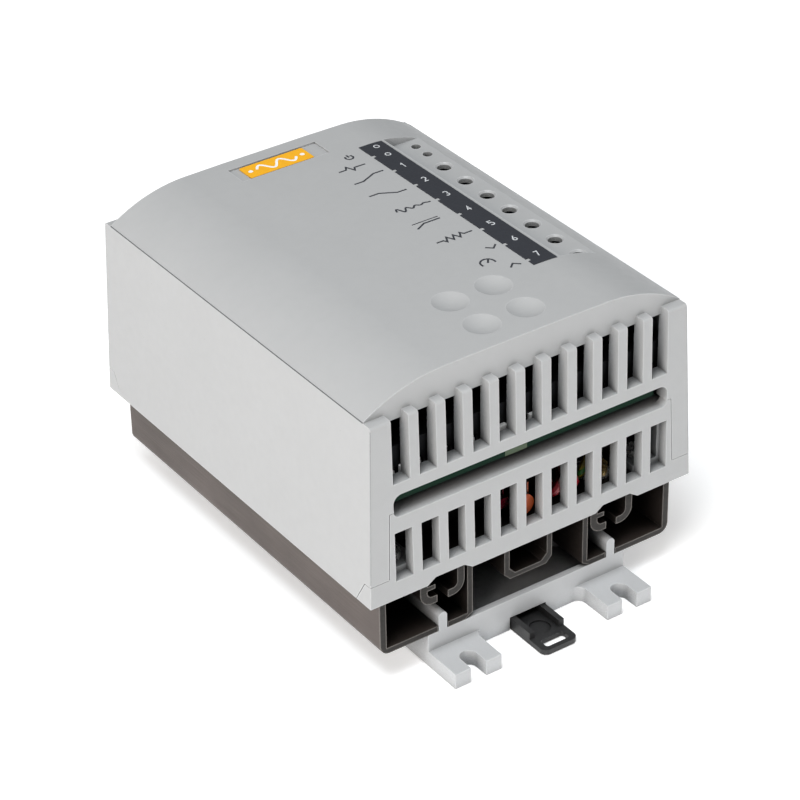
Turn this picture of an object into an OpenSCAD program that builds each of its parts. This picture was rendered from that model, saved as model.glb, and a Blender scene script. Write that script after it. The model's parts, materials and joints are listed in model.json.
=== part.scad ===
// Variable-speed drive on a mounting-rail carrier.
// The origin is the centre of the mounting face under the carrier, +Z points out of the panel,
// X runs along the mounting rail and -Y is the end with the pull tab of the rail latch.

/* [Enclosure] */
// Width of the enclosure at its lower edge
body_w = 105; // [104:0.5:108]
// Length of the enclosure between its two grille ends
body_l = 132; // [130:1:136]
// Height of the lower edge of the enclosure above the mounting face
seat_z = 28.8; // [28.6:0.1:29.2]
// Height of the crowned top above the lower edge
crown_h = 61.8; // [61.6:0.1:62.4]
// Wall thickness of the cover
wall = 2.2; // [2:0.1:2.4]
// Inward lean of each side wall for each millimetre of height
side_lean = 0.038; // [0.034:0.001:0.04]
// Inward lean of each grille end for each millimetre of height
end_lean = 0.023; // [0.02:0.001:0.025]

/* [Grilles] */
// Number of slots in each row
slot_count = 11; // [9:2:11]
// Distance between slot centres
slot_pitch = 8.317; // [8.2:0.01:8.35]
// Width of an upper slot
upper_slot_w = 5.3; // [5:0.1:5.6]
// Width of a lower slot
lower_slot_w = 5.45; // [5:0.05:5.6]

/* [Top panel] */
// Number of adjusters
trimmer_count = 7; // [7:1:7]
// Distance between adjuster centres
trimmer_pitch = 10.28; // [10.2:0.01:10.3]
// Diameter of the screwdriver hole over an adjuster
trimmer_hole_d = 4; // [3.9:0.1:4.2]
// Diameter of the window over an indicator
indicator_hole_d = 2.8; // [2.6:0.1:3]

/* [Rail carrier] */
// Width of the rail that the carrier clips on
rail_w = 35; // [35:0.1:35.2]
// Width of the open screw slot in a lug
lug_slot_w = 5; // [4.8:0.1:5.2]
// Distance of a lug slot from the centre line
lug_slot_x = 25.25; // [25:0.05:25.5]

/* [Hidden] */

$fn = 48;
eps = 0.01;
gap = 0.15;
half_w = body_w / 2;
half_l = body_l / 2;

// Cover, heights counted from the lower edge of the enclosure
cap_h = 53.9;
header_h = 51.6;
recess_y = half_l - 4.35;
bar_back_y = half_l - 5;
header_back_y = half_l - 6.4;
upper_sill_h = 34.9;
window_low_h = 24.9;
window_top_h = 31.4;
window_half = 44.35;
flat_half = 25.5;
shoulder_r = 45;
crown_flat = 14;
crown_slope = 0.0113;

// Base housing
panel_top_h = 26.4;
panel_half = 46.6;
band_h = 6.7;
lower_sill_h = 5.5;
lower_slot_top_h = 20.2;
panel_t = 3.4;
floor_low_h = 5.2;
floor_top_h = 7.2;
shelf_depth = 8;
skirt_x = 48.2;
skirt_t = 1.3;
skirt_h = 12;
floor_inner_x = 35.5;
catch_t = 0.9;
catch_l = 12;
catch_y = 30;
catch_h = 8;
skirt_end_y = bar_back_y - gap;
post_x = 39;
post_y = 45;
base_screw_x = 40.4;
base_screw_y = 57.5;
foot_x = 49.9;

// Adjuster trough in the crown
trough_x = 31.2;
trough_front_y = -35.1;
trough_rear_y = 47.3;
trough_h = 58;
trough_t = 1.8;
trimmer_x = 39.25;
trimmer_rear_y = 28.9;
indicator_x = 39.75;
indicator_ys = [43.3, 37.6];

// Label with its recess, and the four dimples in the crown
label_x = -1;
label_y = 53.2;
label_w = 21;
label_l = 6.8;
label_t = 0.3;
label_recess_x = -0.15;
label_recess_w = 28.9;
label_recess_l = 7.8;
label_recess_d = 0.5;
dimple_xs = [-6.4, 7.5];
dimple_ys = [-51.4, -37.5];
dimple_r = 12.3;
dimple_d = 1.1;

// Legend strip
strip_x0 = 22.3;
strip_x1 = 30.1;
strip_front_y = -35.4;
strip_rear_y = 46.6;
strip_t = 0.15;
notch_front_y = -32.4;
notch_half = 0.6;

// Heatsink
sink_half = 48;
sink_end_y = half_l - 2.8;
sink_top_h = 5.2;
sink_plate_low_h = 2;
sink_low_h = -18.7;
hook_near_x = 20.9;
hook_t = 2.3;
hook_bend_r = 1.6;
hook_bend_h = -5;
channel_mid_x = 28;
channel_slot_w = 3.4;

// Rail carrier, heights counted from the mounting face
carrier_half = 32.75;
carrier_end_y = sink_end_y;
carrier_h = seat_z + sink_low_h;
deck_low = 5;
deck_top = 7;
lug_h = 4.75;
lug_inner_x = 17.75;
lug_end_y = half_l + 9.3;
lug_slot_end_y = half_l + 2.4;
channel_y = rail_w / 2 + 0.2;
latch_half = 5.75;
latch_rail_w = 1.7;
latch_plate_h = 1.7;
latch_h = 3.8;
latch_low = 0.15;
shoulder_y = half_l + 5.6;
loop_end_y = half_l + 12.2;
spring_from_y = -51.5;
spring_to_y = -36;
spring_h = 3.35;
spring_mean_r = 1.05;
spring_wire_r = 0.22;
spring_turns = 6;
tongue_inner_y = 23.2;
carrier_screw_x = 23.5;
carrier_screw_y = 45;

// Boards and their parts, heights counted from the lower edge of the enclosure
power_board_h = 27.4;
board_t = 1.6;
control_board_h = 48;
spacer_x = 31;
spacer_y = 38;
pad_t = 0.4;
module_x = 18.5;
module_w = 30;
module_half_l = 44;
module_h = 16;
ear_l = 8;
ear_h = 6;
block_h = 13;
block_front_y = half_l - 6.6;
block_depth = 11.4;
trimmer_body_top_h = 54.4;
trimmer_body_w = 9.4;
trimmer_rotor_top_h = 55.7;
capacitor_y = 26;
capacitor_r = 5;
capacitor_l = 17;
fuse_x = 14;
fuse_rear_y = -20;
fuse_axis_h = 4.5;
fuse_l = 20;
clip_l = 4;
absorber_at = [-0.4, -60.4, 8.9];
absorber_r = 3.2;
lead_r = 0.35;

// Routes of the two leads, by hand, heights counted from the lower edge of the enclosure
earth_lead_r = 1.3;
earth_route = [[24.2, -56.3, 7.4], [22.6, -56.3, 7.4], [21.2, -56.3, 7.4], [20.5, -57.6, 8],
    [20.4, -59, 9.6], [21.4, -59.5, 11.8], [23.2, -59.2, 14.4], [25.2, -58, 17.6],
    [26.3, -56.2, 22], [26.5, -55.4, 24.6], [26.5, -55.4, 26], [26.5, -55.4, 27.38]];
armature_lead_r = 1.6;
armature_route = [[10, -44.05, 14.8], [10, -48, 14.8], [10, -53, 14.2], [10.1, -56.6, 11.4],
    [10.4, -59.6, 8], [11.6, -60.5, 9.2], [13.6, -60.5, 11.4], [15.8, -60.5, 10.6],
    [17.4, -60, 8.4], [17.4, -58, 7.2], [16.8, -55.4, 8.2], [16.6, -54, 12],
    [16.6, -54, 18], [16.6, -54, 27.38]];

// ---- helpers ----
module seated() { translate([0, 0, seat_z]) children(); }
module along_y(depth) { rotate([90, 0, 0]) linear_extrude(depth, center = true) children(); }
module along_x(depth) { rotate([90, 0, 90]) linear_extrude(depth, center = true) children(); }
module both_ends() { children(); rotate([0, 0, 180]) children(); }
module four(x, y) { for (sx = [-1, 1], sy = [-1, 1]) translate([sx * x, sy * y, 0]) children(); }
module box(x0, x1, y0, y1, z0, z1) { translate([x0, y0, z0]) cube([x1 - x0, y1 - y0, z1 - z0]); }
module rounded_2d(w, h, r) {
    square([w - 2 * r, h], center = true);
    square([w, h - 2 * r], center = true);
    for (sx = [-1, 1], sy = [-1, 1]) translate([sx * (w / 2 - r), sy * (h / 2 - r)]) circle(r);
}

// Points along a smooth curve through the given route
function spline(p, a, b, c, d, t) = 0.5 * (2 * p[b] + (p[c] - p[a]) * t
    + (2 * p[a] - 5 * p[b] + 4 * p[c] - p[d]) * t * t
    + (3 * p[b] - 3 * p[c] + p[d] - p[a]) * t * t * t);
function smooth(p, steps) = let (n = len(p)) concat(
    [for (i = [0 : n - 2], s = [0 : steps - 1])
        spline(p, max(i - 1, 0), i, i + 1, min(i + 2, n - 1), s / steps)],
    [p[n - 1]]);
function unit(v) = v / norm(v);
function heading(p, i) = unit(p[min(i + 1, len(p) - 1)] - p[max(i - 1, 0)]);
function carried(u, t) = unit(u - (u * t) * t);
function frames(p, i, u) = i >= len(p) ? []
    : let (v = carried(u, heading(p, i))) concat([v], frames(p, i + 1, v));
module tube(p, r, sides, start) {
    n = len(p);
    sideways = frames(p, 0, start);
    points = [for (i = [0 : n - 1], k = [0 : sides - 1])
        let (t = heading(p, i), u = sideways[i], w = cross(t, u), a = 360 * k / sides)
        p[i] + r * (cos(a) * u + sin(a) * w)];
    walls = [for (i = [0 : n - 2], k = [0 : sides - 1])
        [i * sides + k, i * sides + (k + 1) % sides,
            (i + 1) * sides + (k + 1) % sides, (i + 1) * sides + k]];
    near_end = [[for (k = [sides - 1 : -1 : 0]) k]];
    far_end = [[for (k = [0 : sides - 1]) (n - 1) * sides + k]];
    polyhedron(points, concat(near_end, walls, far_end), convexity = 8);
}

// Screw with its head's underside at z = 0 and its shank below
module screw(head_r, head_h, shank_r, shank_l, slot_w) {
    difference() {
        union() {
            cylinder(h = head_h, r = head_r);
            translate([0, 0, -shank_l]) cylinder(h = shank_l + eps, r = shank_r);
        }
        translate([0, 0, head_h]) {
            cube([2 * head_r * 0.8, slot_w, head_h], center = true);
            cube([slot_w, 2 * head_r * 0.8, head_h], center = true);
        }
    }
}

// ---- enclosure ----
function side_x(h) = half_w - side_lean * h;
function end_y(h) = half_l - end_lean * h;
function crown_line(x) = crown_h - crown_slope * (x - crown_flat);

module crown_2d(inset) {
    intersection() {
        polygon([[-side_x(0) + inset, 0], [side_x(0) - inset, 0],
            [side_x(70) - inset, 70], [-side_x(70) + inset, 70]]);
        polygon([[-half_w, -1], [half_w, -1], [half_w, crown_line(half_w) - inset],
            [crown_flat, crown_h - inset], [-crown_flat, crown_h - inset],
            [-half_w, crown_line(half_w) - inset]]);
        union() {
            translate([-flat_half, 0]) square([2 * flat_half, 70]);
            for (s = [-1, 1]) translate([s * flat_half, crown_line(flat_half) - shoulder_r])
                circle(shoulder_r - inset, $fn = 120);
        }
    }
}
module ends_2d(inset) {
    polygon([[-end_y(0) + inset, 0], [end_y(0) - inset, 0],
        [end_y(70) - inset, 70], [-end_y(70) + inset, 70]]);
}
// Rounded front edges of the pillar and rib caps
module cap_edges_2d(r) {
    y = end_y(cap_h - r);
    polygon([[-end_y(0), 0], [end_y(0), 0], [y, cap_h - r], [y - r, cap_h],
        [y - r, 80], [-y + r, 80], [-y + r, cap_h], [-y, cap_h - r]]);
    for (s = [-1, 1]) translate([s * (y - r), cap_h - r]) circle(r);
}
module cover_block() {
    intersection() {
        along_y(body_l) crown_2d(0);
        along_x(body_w) ends_2d(0);
        along_x(body_w) cap_edges_2d(0.7);
    }
}
module cover_hollow() {
    intersection() {
        along_y(2 * bar_back_y) crown_2d(wall);
        union() {
            box(-half_w, half_w, -bar_back_y, bar_back_y, -1, header_h);
            box(-half_w, half_w, -header_back_y, header_back_y, -1, 70);
        }
    }
    box(-side_x(0) + wall, side_x(0) - wall, -bar_back_y, bar_back_y, -1, eps);
}
module slot_row(w) {
    for (i = [0 : slot_count - 1]) translate([(i - (slot_count - 1) / 2) * slot_pitch - w / 2, 0, 0])
        children();
}
module upper_slots() {
    slot_row(upper_slot_w) {
        translate([0, -half_l - 1, upper_sill_h])
            cube([upper_slot_w, half_l + 1 - recess_y, 30]);
        translate([0, -recess_y - eps, upper_sill_h])
            cube([upper_slot_w, recess_y - bar_back_y + 2 * eps, header_h - upper_sill_h]);
    }
}
module window_2d(r_low) {
    mid = (window_low_h + window_top_h) / 2;
    translate([0, mid]) rounded_2d(2 * window_half, window_top_h - window_low_h, r_low);
}
module panel_2d(grow) {
    polygon([[-panel_half - grow, -1], [panel_half + grow, -1],
        [panel_half - side_lean * panel_top_h + grow, panel_top_h + grow],
        [-panel_half + side_lean * panel_top_h - grow, panel_top_h + grow]]);
}
// Corner foot of the base, seen on a side wall
module foot_2d(grow) {
    polygon([[half_l + 2, -1], [half_l + 2, band_h + grow], [half_l - 2.8 - grow, band_h - 0.2 + grow],
        [half_l - 7 - grow, -1]]);
}
module end_zone(depth) { box(-half_w, half_w, -half_l - 1, -half_l + depth, -2, 80); }

// Shallow spherical hollow with its lowest point at z = 0
module dimple() {
    intersection() {
        translate([0, 0, dimple_r]) sphere(dimple_r, $fn = 96);
        cube([14, 11, 5], center = true);
    }
}

module top_cover() {
    color([0.78, 0.79, 0.79]) seated() difference() {
        cover_block();
        difference() {
            cover_hollow();
            box(trough_x - trough_t, half_w, trough_front_y - trough_t, trough_rear_y + trough_t,
                trough_h - trough_t, 70);
        }
        both_ends() {
            box(-half_w, half_w, -half_l - 1, -recess_y, cap_h, 80);
            upper_slots();
            intersection() {
                end_zone(8);
                along_y(3 * body_l) { panel_2d(gap); window_2d(2.6); }
            }
        }
        along_x(2 * body_w) for (s = [0, 1]) mirror([s, 0]) foot_2d(gap);
        box(-sink_half - 0.3, sink_half + 0.3, -sink_end_y - 0.4, sink_end_y + 0.4, -1, sink_top_h + 0.2);
        box(trough_x, half_w + 1, trough_front_y, trough_rear_y, trough_h, 70);
        for (i = [0 : trimmer_count - 1])
            translate([trimmer_x, trimmer_rear_y - i * trimmer_pitch, 0]) {
                cylinder(h = 70, d = trimmer_hole_d);
                translate([0, 0, trough_h - 0.5])
                    cylinder(h = 1, d1 = trimmer_hole_d, d2 = trimmer_hole_d + 2);
            }
        for (y = indicator_ys) translate([indicator_x, y, 0]) cylinder(h = 70, d = indicator_hole_d);
        for (s = [0, 1], e = [-1, 1]) mirror([s, 0, 0])
            box(skirt_x, skirt_x + skirt_t + catch_t + 0.2, e * catch_y - catch_l / 2 - 0.3,
                e * catch_y + catch_l / 2 + 0.3, catch_h - 0.2, catch_h + 1.7);
        translate([label_recess_x, label_y, crown_h - label_recess_d / 2 + 5])
            cube([label_recess_w, label_recess_l, label_recess_d + 10], center = true);
        for (x = dimple_xs, y = dimple_ys) translate([x, y, crown_h - dimple_d]) dimple();
    }
}

module front_label() {
    color([0.96, 0.66, 0.1]) seated() translate([label_x, label_y, crown_h - label_recess_d])
        linear_extrude(label_t) rounded_2d(label_w, label_l, 0.5);
}

// Legend strip beside the adjusters, lying on the crowned top, with one notch at each legend
module legend_strip() {
    color([0.22, 0.23, 0.26]) seated() difference() {
        intersection() {
            difference() {
                along_y(body_l) crown_2d(-strip_t);
                along_y(body_l + 1) crown_2d(0);
            }
            box(strip_x0, strip_x1, strip_front_y, strip_rear_y, crown_h - 5, crown_h + 5);
        }
        for (i = [0 : trimmer_count]) translate([strip_x0, notch_front_y + i * trimmer_pitch, crown_h])
            cube([2, 2 * notch_half, 10], center = true);
    }
}

module bottom_notches() {
    for (s = [-1, 1]) along_y(3 * body_l)
        polygon([[s * 20.3, -2], [s * 20.3, 0], [s * 22.9, 1.7], [s * 32, 1.7], [s * 34.6, 0],
            [s * 34.6, -2]]);
}
module base_end() {
    difference() {
        intersection() {
            along_y(body_l) crown_2d(0);
            along_x(body_w) ends_2d(0);
            union() {
                intersection() { end_zone(panel_t + 0.2); along_y(3 * body_l) panel_2d(-0.02); }
                box(-panel_half, panel_half, -half_l, -half_l + panel_t + 0.2, 0, band_h);
                intersection() {
                    along_x(2 * body_w) mirror([1, 0]) foot_2d(0);
                    union() {
                        box(-half_w, half_w, -half_l, -half_l + panel_t + 0.2, 0, band_h);
                        for (s = [0, 1]) mirror([s, 0, 0])
                            box(foot_x, half_w + 1, -half_l, -half_l + 8, 0, band_h);
                    }
                }
            }
        }
        along_y(3 * body_l) window_2d(1.8);
        slot_row(lower_slot_w) translate([0, -half_l - 1, lower_sill_h])
            cube([lower_slot_w, 8, lower_slot_top_h - lower_sill_h]);
        bottom_notches();
        box(-sink_half - gap, sink_half + gap, -sink_end_y - 0.4, 0, -1, sink_top_h + 0.05);
    }
    // Shelf behind the window with its end gussets
    box(-43.8, 43.8, -half_l + panel_t, -half_l + shelf_depth, window_low_h - 2, window_low_h);
    for (s = [-1, 1]) box(s * 44.4 - 0.9, s * 44.4 + 0.9, -half_l + panel_t, -half_l + shelf_depth,
        floor_top_h - eps, window_low_h);
}
module base_housing() {
    color([0.8, 0.8, 0.8]) seated() difference() {
        union() {
            both_ends() base_end();
            for (s = [0, 1]) mirror([s, 0, 0]) {
                box(skirt_x, skirt_x + skirt_t, -skirt_end_y, skirt_end_y, 0.4, skirt_h);
                box(floor_inner_x, skirt_x + eps, -skirt_end_y, skirt_end_y, floor_low_h, floor_top_h);
                box(floor_inner_x, panel_half - 0.1, -half_l + panel_t, half_l - panel_t,
                    floor_low_h, floor_top_h);
                for (e = [-1, 1]) box(skirt_x + skirt_t - eps, skirt_x + skirt_t + catch_t,
                    e * catch_y - catch_l / 2, e * catch_y + catch_l / 2, catch_h, catch_h + 1.5);
            }
            four(post_x, post_y) translate([0, 0, floor_top_h - eps])
                cylinder(h = power_board_h - floor_top_h + eps, r = 3);
        }
        four(post_x, post_y) translate([0, 0, 12]) cylinder(h = 20, r = 1.25);
        four(base_screw_x, base_screw_y) cylinder(h = 10, r = 1.6);
    }
}

// ---- heatsink ----
module hook_2d() {
    bend_x = hook_near_x + hook_t + hook_bend_r;
    translate([hook_near_x, hook_bend_h]) square([hook_t, sink_plate_low_h - hook_bend_h + eps]);
    intersection() {
        translate([bend_x, hook_bend_h]) difference() {
            circle(hook_bend_r + hook_t);
            circle(hook_bend_r);
        }
        translate([hook_near_x, hook_bend_h - 5]) square([bend_x - hook_near_x + eps, 5 + eps]);
    }
    translate([bend_x, hook_bend_h - hook_bend_r - hook_t]) square([1.5, hook_t]);
}
module half_sink_2d() {
    wall_t = 2;
    low_t = 1.8;
    square_at(-1, sink_half, sink_plate_low_h, sink_top_h);
    difference() {
        square_at(29.7, sink_half, sink_low_h, sink_plate_low_h + eps);
        square_at(29, sink_half - wall_t, sink_low_h + low_t, sink_plate_low_h + 1);
        translate([sink_half - 3, sink_low_h + 3]) difference() {
            translate([0, -4]) square([4, 4]);
            circle(3);
        }
    }
    difference() {
        square_at(18.3, channel_mid_x - channel_slot_w / 2, sink_low_h, sink_plate_low_h + eps);
        square_at(20, 27, sink_low_h + low_t, sink_plate_low_h + 1);
        polygon([[18, sink_low_h + 1.8], [18, sink_low_h - 1], [20.8, sink_low_h - 1], [20.8, sink_low_h]]);
    }
    hook_2d();
    translate([2 * channel_mid_x, 0]) mirror([1, 0]) hook_2d();
    difference() {
        square_at(-1, 7.9, -11.8, sink_plate_low_h + eps);
        polygon([[-2, -10.3], [4.3, -10.3], [6.2, -8.4], [6.2, sink_plate_low_h + 1],
            [-2, sink_plate_low_h + 1]]);
        polygon([[5.9, -11.9], [8, -9.8], [8, -11.9]]);
    }
}
module square_at(x0, x1, y0, y1) { translate([x0, y0]) square([x1 - x0, y1 - y0]); }
module heatsink() {
    color([0.28, 0.27, 0.27]) seated() difference() {
        along_y(2 * sink_end_y) {
            half_sink_2d();
            mirror([1, 0]) half_sink_2d();
            square_at(-33, -30.3, -4.3, -2.9);
            square_at(23, 25.5, -4.3, -2.9);
        }
        for (s = [-1, 1]) module_screw_places(s) translate([0, 0, 2.3]) cylinder(h = 10, r = 2.55);
        four(base_screw_x, base_screw_y) translate([0, 0, 1]) cylinder(h = 10, r = 1.45);
        at_earth_screw() translate([0, 0, 1]) cylinder(h = 10, r = 2.05);
        four(carrier_screw_x, carrier_screw_y) translate([0, 0, sink_low_h])
            cylinder(h = 5, r = 1.45, center = true);
    }
}
module module_screw_places(s) {
    for (e = [-1, 1]) translate([s * module_x, e * (module_half_l + ear_l / 2), 0]) children();
}

// ---- rail carrier and latch ----
module at_earth_screw() { translate([earth_route[0][0] + 3.5, earth_route[0][1], 0]) children(); }

module lug() {
    difference() {
        union() {
            box(lug_inner_x, carrier_half, -lug_end_y, -carrier_end_y + 1, 0, lug_h);
            box(lug_inner_x - 2.5, lug_inner_x + eps, -carrier_end_y - 2.5, -carrier_end_y + eps, 0, lug_h);
        }
        translate([lug_inner_x - 2.5, -carrier_end_y - 2.5, -1]) cylinder(h = 10, r = 2.5);
        translate([lug_slot_x, -lug_slot_end_y - lug_slot_w / 2, -1]) cylinder(h = 10, d = lug_slot_w);
        box(lug_slot_x - lug_slot_w / 2, lug_slot_x + lug_slot_w / 2, -lug_end_y - 1,
            -lug_slot_end_y - lug_slot_w / 2, -1, 10);
    }
}
module tongue_2d() {
    square_at(channel_mid_x - 1.35, channel_mid_x + 1.35, deck_low + 1, 14.4);
    translate([channel_mid_x, 14.4]) circle(1.35);
}
module rail_carrier() {
    skin = 1.8;
    color([0.82, 0.83, 0.83]) difference() {
        union() {
            difference() {
                box(-carrier_half, carrier_half, -carrier_end_y, carrier_end_y, 0, carrier_h);
                box(-carrier_half + skin, carrier_half - skin, -carrier_end_y + skin, carrier_end_y - skin,
                    deck_top, carrier_h + 1);
                box(-carrier_half + skin, carrier_half - skin, -carrier_end_y + skin, -channel_y - skin,
                    -1, deck_low);
                box(-carrier_half + skin, carrier_half - skin, channel_y + skin, carrier_end_y - skin,
                    -1, deck_low);
                box(-carrier_half - 1, carrier_half + 1, -channel_y, channel_y, -1, deck_low);
            }
            box(-carrier_half, carrier_half, channel_y - 1.8, channel_y + eps, 1.9, deck_low - 1.2);
            for (s = [-1, 1]) mirror([s > 0 ? 0 : 1, 0, 0]) {
                both_ends_y() lug();
                box(latch_half + 0.3, latch_half + 2.9, -carrier_end_y + eps, -channel_y,
                    0, deck_low + eps);
                both_ends_y() translate([0, -(carrier_end_y + tongue_inner_y) / 2, 0])
                    along_y(carrier_end_y - tongue_inner_y) tongue_2d();
            }
            four(carrier_screw_x, carrier_screw_y) translate([0, 0, deck_low])
                cylinder(h = carrier_h - deck_low, r = 3.4);
            box(-2, 2, spring_from_y - 2, spring_from_y, 2, deck_low + eps);
        }
        box(-latch_half - 0.3, latch_half + 0.3, -carrier_end_y - 1, -carrier_end_y + 3, -1, latch_h + 0.3);
        box(-latch_half - 0.3, latch_half + 0.3, -channel_y - skin - 1, -channel_y + 1, -1, deck_low);
        for (s = [0, 1]) mirror([s, 0, 0]) box(6, 7.1, -carrier_end_y + 8, -channel_y - 3.7, 1.7, 3.7);
        four(carrier_screw_x, carrier_screw_y) {
            translate([0, 0, -1]) cylinder(h = deck_low + 2, r = 2.9);
            cylinder(h = 20, r = 1.6);
        }
    }
}
module both_ends_y() { children(); mirror([0, 1, 0]) children(); }
module rail_latch() {
    nose_y = -channel_y + 2.3;
    color([0.2, 0.2, 0.2]) difference() {
        union() {
            translate([0, 0, latch_low]) linear_extrude(latch_plate_h - latch_low) difference() {
                union() {
                    square_at(-latch_half, latch_half, -loop_end_y + 2, nose_y - 3);
                    square_at(-latch_half + 2, latch_half - 2, -loop_end_y, -loop_end_y + 3);
                    for (s = [-1, 1]) translate([s * (latch_half - 2), -loop_end_y + 2]) circle(2);
                }
                translate([0, -half_l - 9.1]) rounded_2d(7.6, 3.2, 0.8);
            }
            for (s = [-1, 1]) {
                box(min(s * latch_half, s * (latch_half - latch_rail_w)),
                    max(s * latch_half, s * (latch_half - latch_rail_w)),
                    -shoulder_y, nose_y - 3, latch_low, latch_h);
                box(min(s * latch_half, s * 6.8) - eps, max(s * latch_half, s * 6.8) + eps,
                    -carrier_end_y + 12, -channel_y - 4, 2, 3.4);
            }
            box(-latch_half, latch_half, nose_y - 6, nose_y - 3, latch_low, latch_h);
            along_x(2 * latch_half) polygon([[nose_y - 3 - eps, 1.2], [nose_y - 1.6, 1.2],
                [nose_y, 2.4], [nose_y, latch_h], [nose_y - 3 - eps, latch_h]]);
            box(-latch_half, latch_half, spring_to_y, spring_to_y + 1.6, latch_low, latch_h + 0.8);
        }
        translate([0, -half_l - 2.6, latch_plate_h - 0.5]) cylinder(h = 2, r = 3);
    }
}
module latch_spring() {
    steps = spring_turns * 12;
    span = spring_to_y - spring_from_y - 2 * spring_wire_r - 0.04;
    color([0.7, 0.7, 0.72]) tube([for (i = [0 : steps])
        let (a = 360 * i * spring_turns / steps)
        [spring_mean_r * cos(a), spring_from_y + 0.02 + spring_wire_r + span * i / steps,
            spring_h + spring_mean_r * sin(a)]],
        spring_wire_r, 8, [1, 0, 0]);
}
module carrier_screws() {
    color([0.75, 0.75, 0.76]) four(carrier_screw_x, carrier_screw_y)
        translate([0, 0, deck_low + 1]) mirror([0, 0, 1]) screw(2.7, 1.9, 1.4, 6.5, 0.8);
}
module housing_screws() {
    color([0.75, 0.75, 0.76]) seated() four(base_screw_x, base_screw_y)
        translate([0, 0, floor_top_h]) screw(2.7, 1.9, 1.4, 5, 0.8);
}

// ---- power stage ----
module thermal_pad(s) {
    color([0.85, 0.85, 0.8]) seated() difference() {
        box(s * module_x - module_w / 2 + 0.5, s * module_x + module_w / 2 - 0.5,
            -module_half_l - ear_l + 0.5, module_half_l + ear_l - 0.5, sink_top_h, sink_top_h + pad_t);
        module_screw_places(s) cylinder(h = 20, r = 2.8);
    }
}
module power_module(s) {
    low = sink_top_h + pad_t;
    x = s * module_x;
    color([0.16, 0.16, 0.17]) seated() difference() {
        union() {
            box(x - module_w / 2, x + module_w / 2, -module_half_l, module_half_l, low, low + module_h);
            box(x - module_w / 2, x + module_w / 2, -module_half_l - ear_l, module_half_l + ear_l,
                low, low + ear_h);
            for (dx = [-9, 0, 9], y = [-26, 0, 26]) translate([x + dx, y, low + module_h - eps])
                cylinder(h = power_board_h - low - module_h + eps, r = 1.5);
        }
        module_screw_places(s) cylinder(h = 40, r = 2.7);
        for (e = [-1, 1]) box(x - 6, x + 6, e * (module_half_l + ear_l / 2) - 4.1,
            e * (module_half_l + ear_l / 2) + 4.1, low + ear_h - 2, low + ear_h + 1);
    }
}
module module_screws() {
    color([0.75, 0.75, 0.76]) seated() for (s = [-1, 1]) module_screw_places(s)
        translate([0, 0, sink_top_h + pad_t + ear_h - 2]) screw(3.8, 2.6, 2.5, 7.2, 1);
}
module earth_screw() {
    color([0.78, 0.7, 0.45]) seated() at_earth_screw() translate([0, 0, sink_top_h + 0.8])
        screw(3.3, 1.9, 2, 3.6, 0.9);
}
// Ring tag with its crimped barrel
module earth_terminal() {
    p = earth_route[0];
    color([0.8, 0.8, 0.82]) seated() {
        difference() {
            union() {
                at_earth_screw() translate([0, 0, sink_top_h]) cylinder(h = 0.8, r = 3.9);
                box(p[0] - eps, p[0] + 3, p[1] - 2, p[1] + 2, sink_top_h, sink_top_h + 0.8);
            }
            at_earth_screw() cylinder(h = 20, r = 2.05);
        }
        difference() {
            box(p[0] - 1.8, p[0], p[1] - 1.9, p[1] + 1.9, sink_top_h, p[2] + 1.9);
            translate([p[0] - 5, p[1], p[2]]) rotate([0, 90, 0]) cylinder(h = 5.2, r = earth_lead_r + 0.05);
        }
    }
}
module earth_lead() {
    color([0.75, 0.8, 0.15]) seated() tube(smooth(earth_route, 4), earth_lead_r, 10, [0, 1, 0]);
}
module armature_lead() {
    color([0.75, 0.08, 0.1]) seated() tube(smooth(armature_route, 4), armature_lead_r, 10, [1, 0, 0]);
}

// ---- boards ----
module power_board() {
    edge_y = half_l - 3.6;
    color([0.02, 0.3, 0.18]) seated() difference() {
        box(-46.5, 46.5, -edge_y, edge_y, power_board_h, power_board_h + board_t);
        four(46, edge_y) cube([8, 14, 200], center = true);
        four(post_x, post_y) cylinder(h = 100, r = 1.6);
        four(spacer_x, spacer_y) cylinder(h = 100, r = 1.6);
    }
}
module board_screws() {
    color([0.75, 0.75, 0.76]) seated() four(post_x, post_y)
        translate([0, 0, power_board_h + board_t]) screw(2.7, 1.9, 1.2, 9, 0.8);
}
module board_spacers() {
    color([0.8, 0.68, 0.35]) seated() four(spacer_x, spacer_y)
        translate([0, 0, power_board_h + board_t]) difference() {
            union() {
                cylinder(h = control_board_h - power_board_h - board_t, r = 3.1, $fn = 6);
                translate([0, 0, -5]) cylinder(h = 5 + eps, r = 1.5);
            }
            translate([0, 0, 10]) cylinder(h = 20, r = 1.5);
        }
}
module spacer_nuts() {
    color([0.75, 0.75, 0.76]) seated() four(spacer_x, spacer_y)
        translate([0, 0, power_board_h - 2.4]) difference() {
            cylinder(h = 2.4, r = 3.1, $fn = 6);
            translate([0, 0, -1]) cylinder(h = 5, r = 1.55);
        }
}
module control_board() {
    color([0.02, 0.3, 0.18]) seated() difference() {
        box(-40, 46, -47, 47, control_board_h, control_board_h + board_t);
        four(spacer_x, spacer_y) cylinder(h = 100, r = 1.6);
    }
}
module spacer_screws() {
    color([0.75, 0.75, 0.76]) seated() four(spacer_x, spacer_y)
        translate([0, 0, control_board_h + board_t]) screw(2.7, 1.9, 1.4, 7, 0.8);
}

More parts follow.
